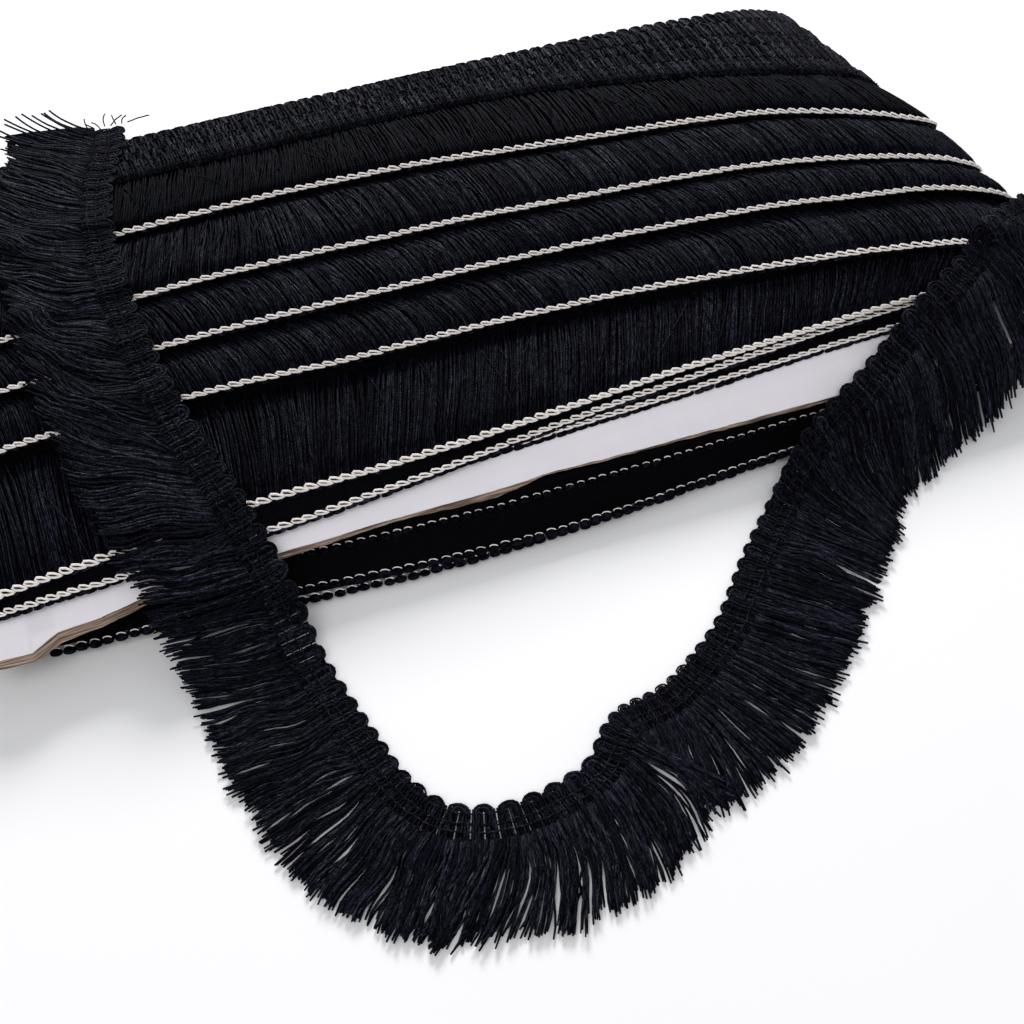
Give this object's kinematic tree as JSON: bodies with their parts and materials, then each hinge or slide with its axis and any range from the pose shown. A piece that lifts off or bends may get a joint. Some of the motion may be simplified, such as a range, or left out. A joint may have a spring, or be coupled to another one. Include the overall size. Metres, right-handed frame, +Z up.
{
  "type": "tassel fringe trim wound on a card",
  "caption": "Cut yarn fringe hanging from a scalloped crocheted heading, wound lengthwise in lapped turns on a flat card, with a loose end looped in front.",
  "frame": {"origin": "on the surface it lies on, under the middle of the winding", "axes": "+X along the card, +Y to the back where the headings lie, +Z up; the fringe points to -Y"},
  "size_m": [0.4031, 0.3314, 0.0433],
  "materials": {
    "black_yarn": "matte twisted yarn",
    "ivory_thread": "soft plied thread",
    "card_board": "matte white face on brown board"
  },
  "bodies": {
    "root": {"card": "card_board", "wound_trim": "black_yarn", "tail_heading": "black_yarn", "tail_fringe": "black_yarn"}
  },
  "joints": []
}
